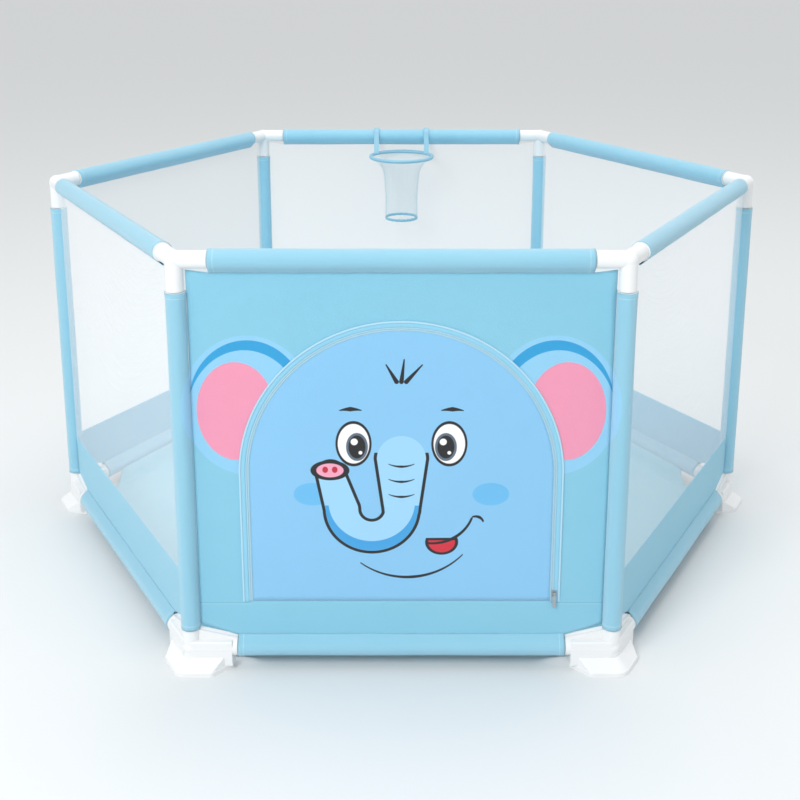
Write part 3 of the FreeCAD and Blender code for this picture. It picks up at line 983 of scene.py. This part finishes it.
def make_mat():
    """The floor cloth: flat on the floor, turned up to the bottom sleeves at its edges."""
    edge = mat_apothem + 0.009
    rise = bottom_rail - 0.006
    flat_to = mat_apothem - 0.0006
    bend = 0.012
    calm_edge = 0.02
    off_floor = 0.0012
    half_sector = math.pi / 6.0
    corner_reach = edge / math.cos(half_sector)

    def place(u, v):
        sector = u * 6.0
        index = min(5, int(sector))
        share = sector - index
        a = math.radians(-120.0 + 60.0 * index)
        b = a + math.pi / 3.0
        rim = Vector((math.cos(a), math.sin(a), 0.0)).lerp(
            Vector((math.cos(b), math.sin(b), 0.0)), share) * corner_reach
        out = 1.0 - (1.0 - v) ** 1.3
        point = rim * out
        normal_angle = a + half_sector
        distance = point.x * math.cos(normal_angle) + point.y * math.sin(normal_angle)
        along = abs(share - 0.5) * 2.0 * half_side
        free = 1.0 - smooth((along - (SKIRT_SLEEVE_HALF - 0.030)) / 0.025)
        lift = free * smooth((distance - flat_to + bend) / (edge - flat_to + bend))
        if distance > flat_to and free < 1.0:
            keep = flat_to + (distance - flat_to) * free
            point = point * (keep / distance)
        calm = 1.0 - smooth((distance - flat_to + calm_edge) / calm_edge)
        wave = 0.0011 * calm * (1.0 + wander(point.x * 5.0, point.y * 5.0, 2.0))
        return Vector((point.x, point.y, off_floor + wave + rise * lift))

    def chart(u, v):
        angle = math.radians(-120.0) + math.tau * u
        return (math.cos(angle) * v * edge, math.sin(angle) * v * edge)

    bm = cloth_grid(180, 56, place, chart)
    piece = finished("mat_cloth", bm, MAT_CLOTH, close=1e-6)
    thickened(piece, 1.0)
    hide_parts("floor_mat")


def make_hoop_net():
    """The tapered net below the ring, gathered at its mouth and hemmed at its foot."""
    low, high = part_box("hoop_net")
    centre = middle("hoop_net")
    depth = high[2] - low[2]
    mouth = half_size("hoop_net").y - 0.0008
    waist = mouth * 0.60
    foot = mouth * 0.515

    def radius_at(v):
        drop = 1.0 - v
        return foot + (waist - foot) * math.exp(-drop * 3.0) + (mouth - waist) * math.exp(
            -drop * 11.0)

    def place(u, v):
        angle = math.tau * u
        pleat = 1.0 + 0.05 * math.cos(HOOP_PLEATS * angle) * smooth(8.0 * (1.0 - v))
        drape = 0.0012 * wander(math.cos(angle) * 2.0, math.sin(angle) * 2.0, v * 4.0)
        radius = radius_at(v) * pleat + drape
        return centre + Vector((radius * math.cos(angle), radius * math.sin(angle),
                                (v - 0.5) * depth))

    def chart(u, v):
        return (u * math.tau * mouth, v * depth)

    bm = cloth_grid(240, 36, place, chart)
    piece = finished("hoop_net_cloth", bm, HOOP_NETTING, body="hoop",
                     close=1e-6)
    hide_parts("hoop_net")
    hem = ring_band("hoop_net_hem", centre.xy, height=low[2] + 0.0025, radius=foot * 1.005,
                    half_height=0.0030, half_depth=0.0011)


def ring_band(name, centre, height, radius, half_height, half_depth):
    """A soft hem round the net's foot."""
    def place(u, v):
        angle = math.tau * v
        section = math.tau * u
        pleat = 1.0 + 0.03 * math.cos(HOOP_PLEATS * angle)
        reach = radius * pleat + half_depth * math.cos(section)
        return Vector((centre.x + reach * math.cos(angle), centre.y + reach * math.sin(angle),
                       height + half_height * math.sin(section)))

    def chart(u, v):
        return (v * math.tau * radius, u * 0.01)

    bm = cloth_grid(12, 240, place, chart)
    bmesh.ops.remove_doubles(bm, verts=bm.verts, dist=1e-7)
    bmesh.ops.recalc_face_normals(bm, faces=bm.faces)
    return finished(name, bm, HOOP_PLASTIC, body="hoop")


# ---------------------------------------------------------------------------
# Build
# ---------------------------------------------------------------------------

post_sleeve_half = (post_sleeve_high - post_sleeve_low) / 2.0
POST_CLOTH = sleeve_cloth("post_cloth", post_sleeve_half)
POST_PRINTED = sleeve_cloth("post_cloth_printed", post_sleeve_half, ears=True)
RAIL_CLOTH = sleeve_cloth("rail_cloth", rail_sleeve_half)
SKIRT_SLEEVE_CLOTH = sleeve_cloth("skirt_sleeve_cloth", SKIRT_SLEEVE_HALF)
SKIRT_CLOTH = plain_cloth("skirt_cloth", "#8ccfe8", "#9ad7ee", "#7fc6e2")
MAT_CLOTH = plain_cloth("mat_cloth_blue", "#8fd3e6", "#98d9ea", "#86cbe1", roughness=0.7)
NETTING = netting("white_netting", pitch=0.0030, thread=0.21, colour="#fbfbfb")
HOOP_NETTING = netting("hoop_netting", pitch=0.0024, thread=0.065, colour="#9cc3cf")
WHITE_PLASTIC = moulded_plastic("white_plastic", "#e6e8e9")
HOOP_PLASTIC = moulded_plastic("hoop_plastic", "#80b8cf", 0.4)
TUBE_PAINT = moulded_plastic("tube_paint", "#dcdfe1", 0.3)
FOAM = moulded_plastic("foam", "#f2f2f0", 0.8)
ZIP_METAL = metal("zip_metal", "#b9bdc2", 0.28)

for corner in CORNERS:
    make_post_cover(corner)

for side in MESH_SIDES:
    cover = make_rail_cover("rail_cover_" + side, side, rail_sleeve_half, top_rail, False,
                            RAIL_CLOTH)
    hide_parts("rail_sleeve_" + side)
    make_rail_cover("skirt_sleeve_" + side, side, SKIRT_SLEEVE_HALF, bottom_rail, True,
                    SKIRT_SLEEVE_CLOTH)
    make_skirt(side)
    make_net_panel(side)

make_rail_cover("front_top_sleeve", "front", rail_sleeve_half, top_rail, False, RAIL_CLOTH)
make_rail_cover("front_bottom_sleeve", "front", SKIRT_SLEEVE_HALF, bottom_rail, True,
                SKIRT_SLEEVE_CLOTH)
zip_on_panel, zip_on_door = make_zip()
make_front_cloth(zip_on_panel)
make_door(zip_on_door)
make_mat()
make_hoop_net()


def refinish(node, material):
    """Give a CAD node its finish."""
    node.data.materials.clear()
    node.data.materials.append(material)


CAD_FINISHES = {
    "top_corner": WHITE_PLASTIC,
    "bottom_corner": WHITE_PLASTIC,
    "post_tube": TUBE_PAINT,
    "top_rail": TUBE_PAINT,
    "bottom_rail": TUBE_PAINT,
    "tube_foam": FOAM,
    "zip_slider": ZIP_METAL,
    "zip_pull": ZIP_METAL,
}
for name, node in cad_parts.items():
    for start, material in CAD_FINISHES.items():
        if name.startswith(start):
            refinish(node, material)
refinish(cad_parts["hoop"], HOOP_PLASTIC)

# ---------------------------------------------------------------------------
# Floor, light and camera
# ---------------------------------------------------------------------------


def make_floor():
    """A plain pale floor."""
    bm = bmesh.new()
    bmesh.ops.create_grid(bm, x_segments=1, y_segments=1, size=30.0)
    mesh = bpy.data.meshes.new("floor")
    bm.to_mesh(mesh)
    bm.free()
    floor = bpy.data.objects.new("floor", mesh)
    bpy.context.scene.collection.objects.link(floor)
    finish = Finish("pale_floor", Roughness=0.9)
    finish.set("Base Color", rgba("#dcdfe0"))
    mesh.materials.append(finish.material)


def make_light(name, position, target, size, power):
    """A large soft lamp aimed at a point."""
    lamp = bpy.data.lights.new(name, "AREA")
    lamp.shape = "DISK"
    lamp.size = size
    lamp.energy = power
    holder = bpy.data.objects.new(name, lamp)
    bpy.context.scene.collection.objects.link(holder)
    holder.location = position
    aim = Vector(target) - Vector(position)
    holder.rotation_euler = aim.to_track_quat("-Z", "Y").to_euler()


def make_surroundings():
    """A bright, even studio."""
    world = bpy.data.worlds.new("studio")
    bpy.context.scene.world = world
    world.use_nodes = True
    sky = world.node_tree.nodes["Background"]
    sky.inputs["Color"].default_value = (1.0, 1.0, 1.0, 1.0)
    sky.inputs["Strength"].default_value = 0.86
    make_light("key_lamp", position=(-1.8, -3.4, 2.9), target=(0.0, -0.4, 0.3), size=1.6,
               power=86.0)
    make_light("top_lamp", position=(0.6, 0.4, 4.0), target=(0.0, 0.0, 0.2), size=2.6,
               power=40.0)
    bpy.context.scene.view_settings.view_transform = "Standard"


def make_camera():
    """The camera stands in front of the pen above its top, looking slightly down."""
    distance = 2.168
    height = 1.0745
    tilt_down = 13.99
    lens_camera = bpy.data.cameras.new("camera")
    lens_camera.sensor_width = 36.0
    lens_camera.lens = 53.5
    lens_camera.shift_x = -0.0018
    lens_camera.shift_y = -0.20
    camera = bpy.data.objects.new("camera", lens_camera)
    bpy.context.scene.collection.objects.link(camera)
    camera.location = (0.0, -distance, height)
    camera.rotation_euler = (math.radians(90.0 - tilt_down), 0.0, 0.0)
    bpy.context.scene.camera = camera


make_floor()
make_surroundings()
make_camera()
